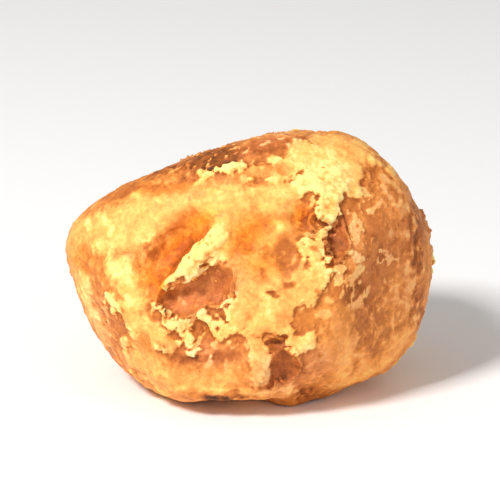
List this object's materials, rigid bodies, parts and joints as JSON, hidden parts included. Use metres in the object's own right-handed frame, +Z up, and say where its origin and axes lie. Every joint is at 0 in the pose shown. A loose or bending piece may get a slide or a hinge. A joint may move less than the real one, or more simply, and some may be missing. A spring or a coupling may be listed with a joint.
{
  "type": "jaggery lump",
  "caption": "Small rounded block of jaggery with smooth hollows, angular chips and a flat underside to rest on.",
  "frame": {"origin": "middle of the part's box, on the flat underside it rests on", "axes": "+X to the lump's right along its longest side, -Y out of its broad front, +Z up along its shortest side"},
  "size_m": [0.032, 0.027, 0.0232],
  "materials": {
    "jaggery": null
  },
  "bodies": {
    "root": {"jaggery_lump": "jaggery"}
  },
  "joints": []
}
